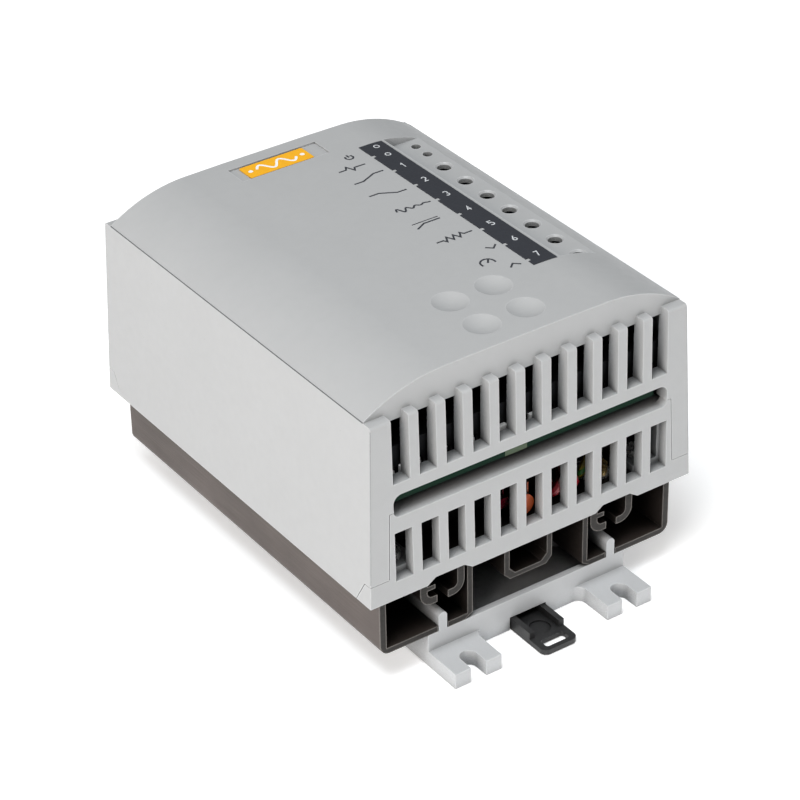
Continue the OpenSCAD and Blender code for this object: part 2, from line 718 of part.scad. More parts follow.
// Terminal row for the front end; the rear row is the same piece turned round
module terminal_ways(count) {
    for (i = [0 : slot_count - 1]) translate([(i - (slot_count - 1) / 2) * slot_pitch, 0, 0]) children();
}
module terminal_block() {
    low = power_board_h + board_t;
    width = slot_count * slot_pitch;
    seated() difference() {
        translate([-width / 2, -block_front_y, low]) cube([width, block_depth, block_h]);
        terminal_ways() {
            translate([-3, -block_front_y - 1, low + 0.9]) cube([6, 9, 5.6]);
            translate([0, -block_front_y + 4.2, low + 7.9]) cylinder(h = 8, r = 2.2);
            translate([0, -block_front_y + 4.2, low + 4]) cylinder(h = 8, r = 1.6);
        }
    }
}
module wire_clamps() {
    low = power_board_h + board_t + 1.1;
    color([0.85, 0.85, 0.86]) seated() terminal_ways() difference() {
        translate([-2.6, -block_front_y + 1.2, low]) cube([5.2, 6, 5.1]);
        translate([-1.9, -block_front_y, low + 0.7]) cube([3.8, 9, 3.7]);
        translate([0, -block_front_y + 4.2, low + 3]) cylinder(h = 8, r = 1.45);
    }
}
module clamp_screws() {
    color([0.8, 0.8, 0.8]) seated() terminal_ways()
        translate([0, -block_front_y + 4.2, power_board_h + board_t + 7.9]) difference() {
            union() {
                cylinder(h = 1.6, r = 2.1);
                translate([0, 0, -3.2]) cylinder(h = 3.3, r = 1.4);
            }
            translate([0, 0, 1.6]) cube([5, 0.8, 1.4], center = true);
        }
}
module front_terminal_block() { color([0.1, 0.1, 0.11]) terminal_block(); }
module front_wire_clamps() { wire_clamps(); }
module front_clamp_screws() { clamp_screws(); }
module rear_terminal_block() { color([0.1, 0.1, 0.11]) rotate([0, 0, 180]) terminal_block(); }
module rear_wire_clamps() { rotate([0, 0, 180]) wire_clamps(); }
module rear_clamp_screws() { rotate([0, 0, 180]) clamp_screws(); }

// ---- adjusters and indicators ----
module at_trimmer(i) {
    translate([trimmer_x, trimmer_rear_y - (i - 1) * trimmer_pitch, 0]) children();
}
module trimmer_body(i) {
    low = control_board_h + board_t;
    color([0.15, 0.3, 0.6]) seated() at_trimmer(i) difference() {
        translate([0, 0, (low + trimmer_body_top_h) / 2])
            cube([trimmer_body_w, trimmer_body_w, trimmer_body_top_h - low], center = true);
        translate([0, 0, trimmer_body_top_h - 2]) cylinder(h = 5, r = 1.8);
    }
}
module trimmer_rotor(i) {
    color([0.9, 0.9, 0.86]) seated() at_trimmer(i) difference() {
        translate([0, 0, trimmer_body_top_h - 1.98])
            cylinder(h = trimmer_rotor_top_h - trimmer_body_top_h + 1.98, r = 1.75);
        translate([0, 0, trimmer_rotor_top_h]) cube([2.8, 0.7, 1.6], center = true);
    }
}
module indicator(y, shade) {
    low = control_board_h + board_t;
    color(shade) seated() translate([indicator_x, y, low]) {
        cylinder(h = 1, r = 1.9);
        cylinder(h = 4.9, r = 1.5);
        translate([0, 0, 4.9]) sphere(1.5, $fn = 32);
    }
}
module power_indicator() { indicator(indicator_ys[0], [0.2, 0.5, 0.2]); }
module limit_indicator() { indicator(indicator_ys[1], [0.5, 0.12, 0.1]); }

// ---- parts on the boards ----
module supply_transformer() {
    low = power_board_h + board_t;
    color([0.35, 0.3, 0.28]) seated() {
        box(-24, 2, -10, 20, low, low + 12);
        box(-20, -2, -6, 16, low + 12 - eps, low + 16);
    }
}
module capacitor(x) {
    low = power_board_h + board_t;
    color([0.12, 0.13, 0.2]) seated() translate([x, capacitor_y, low]) difference() {
        cylinder(h = capacitor_l, r = capacitor_r);
        for (a = [0, 60, 120]) translate([0, 0, capacitor_l]) rotate([0, 0, a])
            cube([8, 0.4, 0.4], center = true);
    }
}
module fuse() {
    low = power_board_h + board_t;
    color([0.85, 0.87, 0.88]) seated() translate([fuse_x, fuse_rear_y, low + fuse_axis_h])
        rotate([-90, 0, 0]) {
            cylinder(h = fuse_l, r = 2.4);
            cylinder(h = 5, r = 2.6);
            translate([0, 0, fuse_l - 5]) cylinder(h = 5, r = 2.6);
        }
}
module fuse_clips() {
    low = power_board_h + board_t;
    color([0.8, 0.72, 0.4]) seated()
        for (y = [fuse_rear_y + 0.5, fuse_rear_y + fuse_l - clip_l - 0.5]) difference() {
            box(fuse_x - 3.4, fuse_x + 3.4, y, y + clip_l, low, low + fuse_axis_h + 2);
            translate([fuse_x, y - 1, low + fuse_axis_h]) rotate([-90, 0, 0]) cylinder(h = 6, r = 2.65);
            box(fuse_x - 1.6, fuse_x + 1.6, y - 1, y + 5, low + fuse_axis_h, low + 8);
        }
}
module board_link() {
    low = power_board_h + board_t;
    color([0.12, 0.12, 0.12]) seated() box(-34, -31, -20, 10, low, control_board_h);
}
module controller_chip() {
    low = control_board_h + board_t;
    color([0.1, 0.1, 0.1]) seated() difference() {
        box(-10, 8, -6, 12, low, low + 3.4);
        translate([-7.5, 9.5, low + 3.2]) cylinder(h = 1, r = 0.9);
    }
}
module surge_absorber() {
    rise = 5.7;
    color([0.85, 0.3, 0.12]) seated() translate(absorber_at) {
        rotate([90, 0, 0]) cylinder(h = 2.6, r = absorber_r, center = true);
        for (dx = [-2, 2]) translate([dx, 0, 0]) {
            cylinder(h = rise + 0.3, r = lead_r);
            translate([0, -eps, rise]) rotate([-90, 0, 0]) cylinder(h = 3.4, r = lead_r);
            translate([0, 3.1, rise - 0.2])
                cylinder(h = power_board_h - absorber_at[2] - rise + 0.2, r = lead_r);
        }
    }
}
module snubber_capacitor() {
    color([0.75, 0.05, 0.15]) seated() {
        box(-6.6, -3.4, -58.8, -56, 8.2, 11.2);
        for (x = [-6, -4]) translate([x, -57.2, 11.2 - eps])
            cylinder(h = power_board_h - 11.2 + eps, r = 0.3);
    }
}

top_cover();
base_housing();
front_label();
legend_strip();
heatsink();
rail_carrier();
rail_latch();
latch_spring();
carrier_screws();
housing_screws();
thermal_pad(-1);  // thermal_pad_left
thermal_pad(1);  // thermal_pad_right
power_module(-1);  // power_module_left
power_module(1);  // power_module_right
module_screws();
power_board();
board_screws();
board_spacers();
spacer_nuts();
control_board();
spacer_screws();
front_terminal_block();
front_wire_clamps();
front_clamp_screws();
rear_terminal_block();
rear_wire_clamps();
rear_clamp_screws();
trimmer_body(1);  // trimmer_body_1
trimmer_body(2);  // trimmer_body_2
trimmer_body(3);  // trimmer_body_3
trimmer_body(4);  // trimmer_body_4
trimmer_body(5);  // trimmer_body_5
trimmer_body(6);  // trimmer_body_6
trimmer_body(7);  // trimmer_body_7
trimmer_rotor(1);  // trimmer_rotor_1
trimmer_rotor(2);  // trimmer_rotor_2
trimmer_rotor(3);  // trimmer_rotor_3
trimmer_rotor(4);  // trimmer_rotor_4
trimmer_rotor(5);  // trimmer_rotor_5
trimmer_rotor(6);  // trimmer_rotor_6
trimmer_rotor(7);  // trimmer_rotor_7
power_indicator();
limit_indicator();
supply_transformer();
capacitor(8);  // capacitor_left
capacitor(20);  // capacitor_right
fuse();
fuse_clips();
board_link();
controller_chip();
earth_lead();
earth_terminal();
earth_screw();
armature_lead();
surge_absorber();
snubber_capacitor();
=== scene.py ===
"""Looks of the rail-mounted motor speed drive: camera, light, materials, printed marks, small board parts."""
import json
import math

import bmesh
import bpy
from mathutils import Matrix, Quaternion, Vector
from mathutils.bvhtree import BVHTree


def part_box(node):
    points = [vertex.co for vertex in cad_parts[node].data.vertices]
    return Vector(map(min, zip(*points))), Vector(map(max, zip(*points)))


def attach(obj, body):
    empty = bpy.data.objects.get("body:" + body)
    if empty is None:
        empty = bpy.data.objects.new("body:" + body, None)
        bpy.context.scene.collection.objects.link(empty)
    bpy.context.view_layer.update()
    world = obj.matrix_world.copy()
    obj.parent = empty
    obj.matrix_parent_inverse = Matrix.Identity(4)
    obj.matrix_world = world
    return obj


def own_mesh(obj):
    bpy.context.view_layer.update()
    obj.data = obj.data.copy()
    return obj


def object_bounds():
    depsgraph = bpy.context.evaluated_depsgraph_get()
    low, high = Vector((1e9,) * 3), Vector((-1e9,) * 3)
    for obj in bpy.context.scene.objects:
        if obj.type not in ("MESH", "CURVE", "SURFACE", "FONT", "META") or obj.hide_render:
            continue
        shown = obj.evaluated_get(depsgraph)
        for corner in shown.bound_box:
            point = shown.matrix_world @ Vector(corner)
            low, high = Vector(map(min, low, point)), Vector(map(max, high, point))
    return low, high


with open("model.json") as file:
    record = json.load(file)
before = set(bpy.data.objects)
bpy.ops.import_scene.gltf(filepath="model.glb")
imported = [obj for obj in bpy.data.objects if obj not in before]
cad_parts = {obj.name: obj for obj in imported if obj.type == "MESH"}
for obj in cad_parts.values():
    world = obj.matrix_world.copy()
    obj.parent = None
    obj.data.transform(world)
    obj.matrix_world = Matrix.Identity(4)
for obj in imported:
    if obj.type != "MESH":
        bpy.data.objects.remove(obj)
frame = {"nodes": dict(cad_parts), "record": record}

MM = 0.001
cad_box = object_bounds()
nodes = frame["nodes"]

# ---- camera ----
CAMERA_AZIMUTH = 34.31
CAMERA_ELEVATION = 32.76
CAMERA_ROLL = -1.175
CAMERA_DISTANCE = 0.84
CAMERA_AIM = Vector((0.01096, 0.0118, 0.02818))
FOCAL_MM = 133.14
SENSOR_MM = 36
NEAREST, FARTHEST = 0.01, 20


def make_camera():
    data = bpy.data.cameras.new("camera")
    data.lens = FOCAL_MM
    data.sensor_width = SENSOR_MM
    data.clip_start = NEAREST
    data.clip_end = FARTHEST
    camera = bpy.data.objects.new("camera", data)
    bpy.context.scene.collection.objects.link(camera)
    a, e = math.radians(CAMERA_AZIMUTH), math.radians(CAMERA_ELEVATION)
    forward = Vector((math.sin(a) * math.cos(e), math.cos(a) * math.cos(e), -math.sin(e)))
    camera.location = CAMERA_AIM - forward * CAMERA_DISTANCE
    camera.rotation_mode = "QUATERNION"
    turn = Quaternion((0, 0, 1), math.radians(CAMERA_ROLL))
    camera.rotation_quaternion = forward.to_track_quat("-Z", "Y") @ turn
    bpy.context.scene.camera = camera


make_camera()


# ---- light ----
WORLD_STRENGTH = 0.24
LIGHT_AIM = Vector((0, 0, 0.04))
# Square softboxes: name, place, side, power in watts, tint
SOFTBOXES = [
    ("left_softbox", (-1.35, -0.6, 0.72), 0.8, 12.6, (1.0, 0.93, 0.875)),
    ("right_softbox", (1.2, -0.8, 0.7), 0.8, 2.7, (1.0, 1.0, 1.0)),
    ("top_softbox", (-0.45, -0.35, 1.4), 0.6, 15.2, (0.94, 0.975, 1.0)),
]


def area_light(name, place, side, power, tint):
    data = bpy.data.lights.new(name, "AREA")
    data.shape = "SQUARE"
    data.size = side
    data.energy = power
    data.color = tint
    lamp = bpy.data.objects.new(name, data)
    bpy.context.scene.collection.objects.link(lamp)
    lamp.location = place
    lamp.rotation_mode = "QUATERNION"
    lamp.rotation_quaternion = (LIGHT_AIM - lamp.location).to_track_quat("-Z", "Y")


def make_light():
    world = bpy.data.worlds.new("studio")
    world.use_nodes = True
    background = world.node_tree.nodes["Background"]
    background.inputs["Color"].default_value = (1, 1, 1, 1)
    background.inputs["Strength"].default_value = WORLD_STRENGTH
    bpy.context.scene.world = world
    for softbox in SOFTBOXES:
        area_light(*softbox)
    settings = bpy.context.scene.view_settings
    settings.view_transform = "Standard"
    settings.look = "None"


# ---- material helpers ----
NOISE_SPREAD = (0.3, 0.7)      # nearly all of a noise texture's values
EDGE_RADIUS = 0.5 * MM
EDGE_BEND = (0.996, 0.94)      # cosines between rounded and true normal where an edge starts and is full
EDGE_SAMPLES, CREVICE_SAMPLES = 4, 6
INSIDE_REACH_MM = 60           # how far to look for open space when telling inside from outside, for the painted shade deep inside
INSIDE_DARK_SHARE = 0.25       # share of open_at below which the inside is fully dark with painted shade


class Nodes:
    """A material's node tree with short calls for the nodes used here."""

    def __init__(self, name):
        self.material = bpy.data.materials.new(name)
        self.material.use_nodes = True
        self.tree = self.material.node_tree
        self.tree.nodes.clear()
        self.out = self.add("ShaderNodeOutputMaterial")
        self.shader = self.add("ShaderNodeBsdfPrincipled")
        self.link(self.shader.outputs[0], self.out.inputs[0])
        self.place = self.add("ShaderNodeTexCoord").outputs["Object"]

    def add(self, kind):
        return self.tree.nodes.new(kind)

    def link(self, a, b):
        self.tree.links.new(a, b)

    def fixed(self, **values):
        for key, value in values.items():
            self.shader.inputs[key.replace("_", " ")].default_value = value

    def scaled(self, stretch):
        node = self.add("ShaderNodeMapping")
        node.inputs["Scale"].default_value = stretch
        self.link(self.place, node.inputs["Vector"])
        return node.outputs[0]

    def noise(self, size_mm, detail=3.0, rough=0.55, vector=None):
        node = self.add("ShaderNodeTexNoise")
        node.inputs["Scale"].default_value = 1 / (size_mm * MM)
        node.inputs["Detail"].default_value = detail
        node.inputs["Roughness"].default_value = rough
        self.link(vector or self.place, node.inputs["Vector"])
        return node.outputs["Fac"]

    def cells(self, size_mm, feature="F1", vector=None):
        node = self.add("ShaderNodeTexVoronoi")
        node.feature = feature
        node.inputs["Scale"].default_value = 1 / (size_mm * MM)
        self.link(vector or self.place, node.inputs["Vector"])
        return node

    def feed(self, value, socket):
        """Link an output to a socket, or set the socket to a colour or a number."""
        if hasattr(value, "links"):
            self.link(value, socket)
        elif isinstance(value, tuple):
            socket.default_value = (*value, 1)
        else:
            socket.default_value = value

    def mix(self, fac, a, b, blend="MIX"):
        node = self.add("ShaderNodeMix")
        node.data_type = "RGBA"
        node.blend_type = blend
        self.feed(fac, node.inputs[0])
        self.feed(a, node.inputs[6])
        self.feed(b, node.inputs[7])
        return node.outputs[2]

    def math(self, kind, a, b=0.0):
        node = self.add("ShaderNodeMath")
        node.operation = kind
        self.feed(a, node.inputs[0])
        self.feed(b, node.inputs[1])
        return node.outputs[0]

    def range(self, value, low, high, to_low=0.0, to_high=1.0):
        node = self.add("ShaderNodeMapRange")
        self.link(value, node.inputs["Value"])
        for key, number in (("From Min", low), ("From Max", high), ("To Min", to_low), ("To Max", to_high)):
            node.inputs[key].default_value = number
        return node.outputs[0]

    def varied(self, noise, low, high):
        """Spread a noise over low to high."""
        return self.range(noise, *NOISE_SPREAD, low, high)

    def bump(self, height, strength, depth_mm, before=None):
        node = self.add("ShaderNodeBump")
        node.inputs["Strength"].default_value = strength
        node.inputs["Distance"].default_value = depth_mm * MM
        self.link(height, node.inputs["Height"])
        if before is not None:
            self.link(before, node.inputs["Normal"])
        return node.outputs[0]

    def edges(self):
        """1 on edges, 0 elsewhere: how far a rounded normal strays from the true one."""
        rounded = self.add("ShaderNodeBevel")
        rounded.samples = EDGE_SAMPLES
        rounded.inputs["Radius"].default_value = EDGE_RADIUS
        geometry = self.add("ShaderNodeNewGeometry")
        dot = self.add("ShaderNodeVectorMath")
        dot.operation = "DOT_PRODUCT"
        self.link(rounded.outputs[0], dot.inputs[0])
        self.link(geometry.outputs["Normal"], dot.inputs[1])
        return self.range(dot.outputs["Value"], *EDGE_BEND)

    def split(self, vector):
        node = self.add("ShaderNodeSeparateXYZ")
        self.link(vector, node.inputs[0])
        return node.outputs

    def facing(self, axis):
        """How far the surface faces along an axis of the object, either way: 0 to 1."""
        normal = self.add("ShaderNodeTexCoord").outputs["Normal"]
        return self.math("ABSOLUTE", self.split(normal)[axis])

    def crevice_shade(self, tone, reach_mm, darkest, low=0.05, high=0.8):
        """Painted shade: darken the colour where little open space is left within reach of the surface."""
        node = self.add("ShaderNodeAmbientOcclusion")
        node.samples = CREVICE_SAMPLES
        node.inputs["Distance"].default_value = reach_mm * MM
        open_part = self.range(node.outputs["AO"], low, high)
        dark = self.mix(1.0, tone, (darkest, darkest, darkest), "MULTIPLY")
        return self.mix(open_part, dark, tone)

    def finish(self, colour, roughness, normal=None, metallic=None, inside=0.03, open_at=0.55):
        """Link the shader's inputs. Deep inside the drive the colour falls to the share named by inside, as
        painted shade.
        """
        if inside < 1:
            colour = self.crevice_shade(colour, INSIDE_REACH_MM, inside, INSIDE_DARK_SHARE * open_at, open_at)
        links = {"Base Color": colour, "Roughness": roughness, "Normal": normal, "Metallic": metallic}
        for key, value in links.items():
            if value is not None:
                self.link(value, self.shader.inputs[key])
        return self.material


# Axes of the object as outputs of a split vector
ALONG_Y, ALONG_Z = 1, 2

# Stripe of the earth lead: from stripe to stripe in height, and how far it climbs across the lead
STRIPE_PITCH = 3.696 * MM
STRIPE_SLANT = 0.9


def shade(colour, factor):
    return tuple(min(1.0, c * factor) for c in colour)


def moulded(name, colour, rough, grain_mm, grain, edge_highlight, specks=False, gloss=0.4, open_at=0.55):
    """Moulded plastic: spark-eroded grain, slight mottling, dust specks, paler edges as a painted highlight,
    and painted shade in crevices and deep inside.
    """
    n = Nodes(name)
    n.fixed(Specular_IOR_Level=gloss)
    mottle = n.noise(22, detail=4, rough=0.6)
    tone = n.mix(mottle, shade(colour, 0.965), shade(colour, 1.03))
    cloud = n.range(n.noise(3.2), 0.42, 0.7, 0.0, 0.35)
    tone = n.mix(cloud, tone, shade(colour, 0.955))
    if specks:
        spots = n.cells(7)
        spot = n.range(spots.outputs["Distance"], 0.016, 0.03, 0.5, 0.0)
        chosen = n.math("GREATER_THAN", n.noise(9, detail=0), 0.56)
        tone = n.mix(n.math("MULTIPLY", spot, chosen), tone, shade(colour, 0.45))
    # Paler edges: a painted highlight
    tone = n.mix(n.math("MULTIPLY", n.edges(), edge_highlight), tone, shade(colour, 1.45))
    normal = n.bump(n.noise(grain_mm, detail=2, rough=0.5), strength=grain, depth_mm=0.03)
    normal = n.bump(n.noise(14, detail=2, rough=0.4), strength=0.12, depth_mm=0.2, before=normal)
    roughness = n.varied(n.noise(2.5), rough - 0.05, rough + 0.07)
    # Painted shade in creases and recesses
    tone = n.crevice_shade(tone, reach_mm=5, darkest=0.2, low=0.1, high=0.72)
    return n.finish(tone, roughness, normal, open_at=open_at)


def anodised():
    """Dark anodised extrusion: streaks along its length, darker sawn ends with saw marks, paler edges as a
    painted highlight and painted shade in its channels.
    """
    n = Nodes("anodised_aluminium")
    n.fixed(Specular_IOR_Level=0.25)
    streaks = n.noise(1.6, detail=4, rough=0.6, vector=n.scaled((1, 0.01, 1)))
    fine = n.noise(0.4, detail=2, rough=0.6, vector=n.scaled((1, 0.02, 1)))
    body = n.mix(streaks, (0.075, 0.06, 0.053), (0.115, 0.094, 0.084))
    body = n.mix(n.range(n.noise(30), 0.4, 0.65), body, (0.125, 0.102, 0.092))
    end = n.range(n.facing(ALONG_Y), 0.9, 0.97)
    saw = n.noise(0.7, rough=0.6, vector=n.scaled((0.25, 1, 2.2)))
    cut = n.mix(saw, (0.02, 0.019, 0.018), (0.065, 0.06, 0.056))
    colour = n.mix(end, body, cut)
    # Paler edges: a painted highlight
    colour = n.mix(n.math("MULTIPLY", n.edges(), 0.6), colour, (0.46, 0.43, 0.4))
    roughness = n.math("ADD", n.varied(fine, 0.36, 0.5), n.math("MULTIPLY", end, 0.14))
    normal = n.bump(fine, strength=0.25, depth_mm=0.02)
    normal = n.bump(n.math("MULTIPLY", saw, end), strength=0.3, depth_mm=0.03, before=normal)
    metallic = n.range(end, 0, 1, 0.5, 0.35)
    return n.finish(n.crevice_shade(colour, reach_mm=14, darkest=0.1), roughness, normal, metallic)


def metal(name, colour, rough, streak=(1, 1, 1), size_mm=0.5, metallic=0.75):
    """Plated or drawn metal with fine streaks, dull patches and brighter edges as a painted highlight."""
    n = Nodes(name)
    n.fixed(Metallic=metallic)
    lines = n.noise(size_mm, detail=4, rough=0.6, vector=n.scaled(streak))
    dull = n.range(n.noise(2.2, detail=4), 0.4, 0.68)
    tone = n.mix(lines, shade(colour, 0.85), shade(colour, 1.1))
    tone = n.mix(n.math("MULTIPLY", dull, 0.4), tone, shade(colour, 0.7))
    # Brighter edges: a painted highlight
    tone = n.mix(n.math("MULTIPLY", n.edges(), 0.5), tone, shade(colour, 1.35))
    roughness = n.varied(n.noise(1.1), rough - 0.07, rough + 0.12)
    return n.finish(tone, roughness, n.bump(lines, strength=0.25, depth_mm=0.015), inside=1)


def circuit():
    """Green solder mask with traces and tinned pads; the sawn edge shows the glass-fibre layers."""
    n = Nodes("circuit_board")
    n.fixed(Specular_IOR_Level=0.12)
    tracks = n.cells(2.6, "DISTANCE_TO_EDGE", n.scaled((1, 0.35, 1))).outputs["Distance"]
    track = n.range(tracks, 0.05, 0.09, 1.0, 0.0)
    mask = n.mix(track, (0.006, 0.095, 0.048), (0.014, 0.17, 0.085))
    pads = n.cells(5.2).outputs["Distance"]
    pad = n.range(pads, 0.10, 0.13, 1.0, 0.0)
    face = n.mix(pad, mask, (0.62, 0.6, 0.56))
    weave = n.noise(0.5, detail=2, rough=0.5, vector=n.scaled((1, 1, 4)))
    edge = n.mix(weave, (0.0006, 0.014, 0.006), (0.0015, 0.032, 0.015))
    colour = n.mix(n.range(n.facing(ALONG_Z), 0.4, 0.6), edge, face)
    roughness = n.varied(n.noise(1.5, detail=2), 0.38, 0.52)
    return n.finish(colour, roughness, n.bump(track, strength=0.5, depth_mm=0.03))


def glossy(name, colour, rough, coat=0.3, mottle=0.12, size_mm=1.5):
    """Sleeved, dipped or lacquered surface with a soft second gloss, small ripples and paler edges as a
    painted highlight.
    """
    n = Nodes(name)
    n.fixed(Coat_Weight=coat, Coat_Roughness=0.15)
    spread = n.noise(size_mm, detail=4, rough=0.6)
    tone = n.mix(spread, shade(colour, 1 - mottle), shade(colour, 1 + mottle))
    # Paler edges: a painted highlight
    tone = n.mix(n.math("MULTIPLY", n.edges(), 0.3), tone, shade(colour, 1.4))
    roughness = n.varied(n.noise(0.8, detail=2), rough - 0.06, rough + 0.1)
    ripples = n.noise(size_mm * 0.6, detail=2)
    return n.finish(tone, roughness, n.bump(ripples, strength=0.2, depth_mm=0.04))


def striped_lead():
    """Earth lead: green insulation with a broad yellow stripe."""
    n = Nodes("earth_insulation")
    n.fixed(Coat_Weight=0.3, Coat_Roughness=0.2)
    x, _, z = n.split(n.place)
    across_stripe = n.math("ADD", z, n.math("MULTIPLY", x, -STRIPE_SLANT))
    wave = n.math("SINE", n.math("MULTIPLY", across_stripe, 2 * math.pi / STRIPE_PITCH))
    band = n.range(wave, -0.25, -0.1)
    colour = n.mix(band, (0.05, 0.42, 0.05), (0.92, 0.72, 0.03))
    grime = n.math("MULTIPLY", n.noise(1.2, detail=2), 0.15)
    colour = n.mix(grime, colour, (0.3, 0.3, 0.05))
    ripples = n.bump(n.noise(0.6, detail=2), strength=0.15, depth_mm=0.03)
    return n.finish(colour, n.varied(n.noise(0.9), 0.3, 0.42), ripples)


def glass_tube():
    """Clear, slightly green glass with smears."""
    n = Nodes("fuse_glass")
    n.fixed(Transmission_Weight=1.0, IOR=1.5)
    smear = n.noise(1.5)
    glass = n.mix(smear, (0.86, 0.92, 0.9), (0.97, 0.99, 0.98))
    return n.finish(glass, n.varied(smear, 0.03, 0.12), inside=1)


def printed(name, colour, rough=0.45):
    """Screen-printed ink: slightly uneven cover with a fine grain."""
    n = Nodes(name)
    cover = n.noise(0.35, detail=4, rough=0.7)
    tone = n.mix(n.range(cover, 0.35, 0.7), colour, shade(colour, 1.16))
    thin = n.range(n.noise(2.5, detail=2), 0.45, 0.7, 0.0, 0.3)
    tone = n.mix(thin, tone, shade(colour, 0.86))
    roughness = n.varied(n.noise(0.7), rough - 0.06, rough + 0.08)
    return n.finish(tone, roughness, n.bump(cover, strength=0.2, depth_mm=0.01))


ENCLOSURE = (0.44, 0.446, 0.449)
CARRIER = (0.53, 0.54, 0.55)
# By material slot. After the colour, all give the roughness, and moulded then gives the size of the grain in
# millimetres, its strength and the painted highlight on the edges
FINISHES = {
    "enclosure_plastic": moulded("enclosure_plastic", ENCLOSURE, 0.4, 0.3, 0.55, 0.6,
                                 specks=True, open_at=0.3),
    "carrier_plastic": moulded("carrier_plastic", CARRIER, 0.4, 0.6, 0.25, 0.4,
                               specks=True, open_at=0.28),
    "latch_plastic": moulded("latch_plastic", (0.032, 0.032, 0.033), 0.42, 0.3, 0.3, 0.35),
    "label_vinyl": printed("label_vinyl", (0.93, 0.44, 0.008), 0.35),
    "strip_print": printed("strip_print", (0.026, 0.029, 0.037), 0.5),
    "anodised_aluminium": anodised(),
    "zinc_steel": metal("zinc_steel", (0.66, 0.66, 0.65), 0.26),
    "spring_steel": metal("spring_steel", (0.5, 0.5, 0.5), 0.3, streak=(1, 0.3, 1), size_mm=0.2),
    "brass": metal("brass", (0.74, 0.53, 0.22), 0.28),
    "circuit_board": circuit(),
    "block_plastic": moulded("block_plastic", (0.045, 0.046, 0.05), 0.5, 0.4, 0.3, 0.4, gloss=0.12),
    "module_plastic": moulded("module_plastic", (0.022, 0.022, 0.024), 0.5, 0.4, 0.35, 0.3, gloss=0.12),
    "pad_silicone": moulded("pad_silicone", (0.6, 0.6, 0.56), 0.75, 0.25, 0.3, 0.1),
    "trimmer_blue": glossy("trimmer_blue", (0.03, 0.11, 0.42), 0.35),
    "rotor_white": moulded("rotor_white", (0.72, 0.72, 0.66), 0.4, 0.2, 0.15, 0.2),
    "indicator_green": glossy("indicator_green", (0.05, 0.3, 0.06), 0.2, coat=0.6),
    "indicator_red": glossy("indicator_red", (0.35, 0.02, 0.02), 0.2, coat=0.6),
    "coil_former": glossy("coil_former", (0.16, 0.11, 0.06), 0.45, coat=0.1, mottle=0.3, size_mm=1.0),
    "capacitor_sleeve": glossy("capacitor_sleeve", (0.02, 0.025, 0.06), 0.28),
    "fuse_glass": glass_tube(),
    "red_insulation": glossy("red_insulation", (0.5, 0.012, 0.03), 0.28, coat=0.4),
    "earth_insulation": striped_lead(),
    "orange_epoxy": glossy("orange_epoxy", (0.8, 0.14, 0.03), 0.32, coat=0.4, mottle=0.2),
    "red_film": glossy("red_film", (0.5, 0.01, 0.05), 0.25, coat=0.4),
}
WHITE_INK = printed("white_ink", (0.62, 0.64, 0.66))
LABEL_WHITE = printed("label_white", (0.9, 0.9, 0.88))
DARK_INK = printed("dark_ink", (0.035, 0.038, 0.046))
# Dark colour of the shut lines: painted shadow
SEAM_SHADOW = moulded("seam_shadow", (0.13, 0.135, 0.14), 0.5, 0.3, 0.2, 0.0)
# Near-white metal for the painted glint of the clamps
CLAMP_GLINT = metal("clamp_glint_tab", (0.95, 0.93, 0.9), 0.42, metallic=0.15)
BARE_LAMINATE = moulded("bare_laminate", (0.09, 0.13, 0.075), 0.5, 0.25, 0.5, 0.2)


def dress_nodes():
    """Give each carried-over node the finish of its material slot."""
    slots = {s["node"]: s["material_slot"] for s in frame["record"]["subparts"]}
    for name, obj in nodes.items():
        material = FINISHES[slots[name]]
        if not obj.material_slots:
            obj.data.materials.append(material)
        for entry in obj.material_slots:
            entry.link = "OBJECT"
            entry.material = material


# ---- softened edges on the carried-over solids ----
FLAT_WITHIN = math.radians(0.6)
SHARP_OVER = math.radians(35)
SOFT_EDGES_MM = {
    "top_cover": 0.35, "base_housing": 0.3, "rail_carrier": 0.3, "rail_latch": 0.25, "heatsink": 0.15,
    "front_terminal_block": 0.15, "rear_terminal_block": 0.15, "supply_transformer": 0.5,
    "power_module_left": 0.4, "power_module_right": 0.4, "front_wire_clamps": 0.15, "rear_wire_clamps": 0.15,
}


def soften(obj, width_mm):
    """Merge flat faces and round the sharp edges with modifiers, so that the mesh itself stays as it is."""
    flat = obj.modifiers.new("merge_flats", "DECIMATE")
    flat.decimate_type = "DISSOLVE"
    flat.angle_limit = FLAT_WITHIN
    bevel = obj.modifiers.new("soft_edges", "BEVEL")
    bevel.width = width_mm * MM
    bevel.segments = 2
    bevel.limit_method = "ANGLE"
    bevel.angle_limit = SHARP_OVER
    weighted = obj.modifiers.new("even_faces", "WEIGHTED_NORMAL")
    weighted.keep_sharp = True


# ---- pieces printed on the crowned top ----
MARK_THICK = 0.03 * MM
MARK_SINK = 0.01 * MM      # depth below the surface, so that a mark never floats
MARK_CELL = 2 * MM         # longest edge of a mark's mesh, so that it follows the crown
MARK_ROUNDS = 3
STRIP_THICK = 0.15 * MM
LINE = 0.55                # line widths of the symbols, millimetres
THIN_LINE = 0.35
MITRE_LIMIT = 0.45         # smallest cosine used at a corner, which keeps sharp mitres short


def surface_of(node):
    mesh = nodes[node].data
    return BVHTree.FromPolygons([v.co for v in mesh.vertices], [p.vertices for p in mesh.polygons])


cover_surface = surface_of("top_cover")
cover_low, cover_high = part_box("top_cover")
label_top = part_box("front_label")[1].z


def crown_height(x, y):
    above = Vector((x, y, 2 * cover_high.z))
    return cover_surface.ray_cast(above, Vector((0, 0, -1)))[0].z


def strip_height(x, y):
    return crown_height(x, y) + STRIP_THICK


def label_height(x, y):
    return label_top


def piece(name, mesh, material):
    """Add a visual piece that rides on the drive."""
    obj = bpy.data.objects.new(name, mesh)
    bpy.context.scene.collection.objects.link(obj)
    mesh.materials.append(material)
    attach(obj, "drive")


def mesh_of(name, bm):
    mesh = bpy.data.meshes.new(name)
    bm.to_mesh(mesh)
    bm.free()
    return mesh


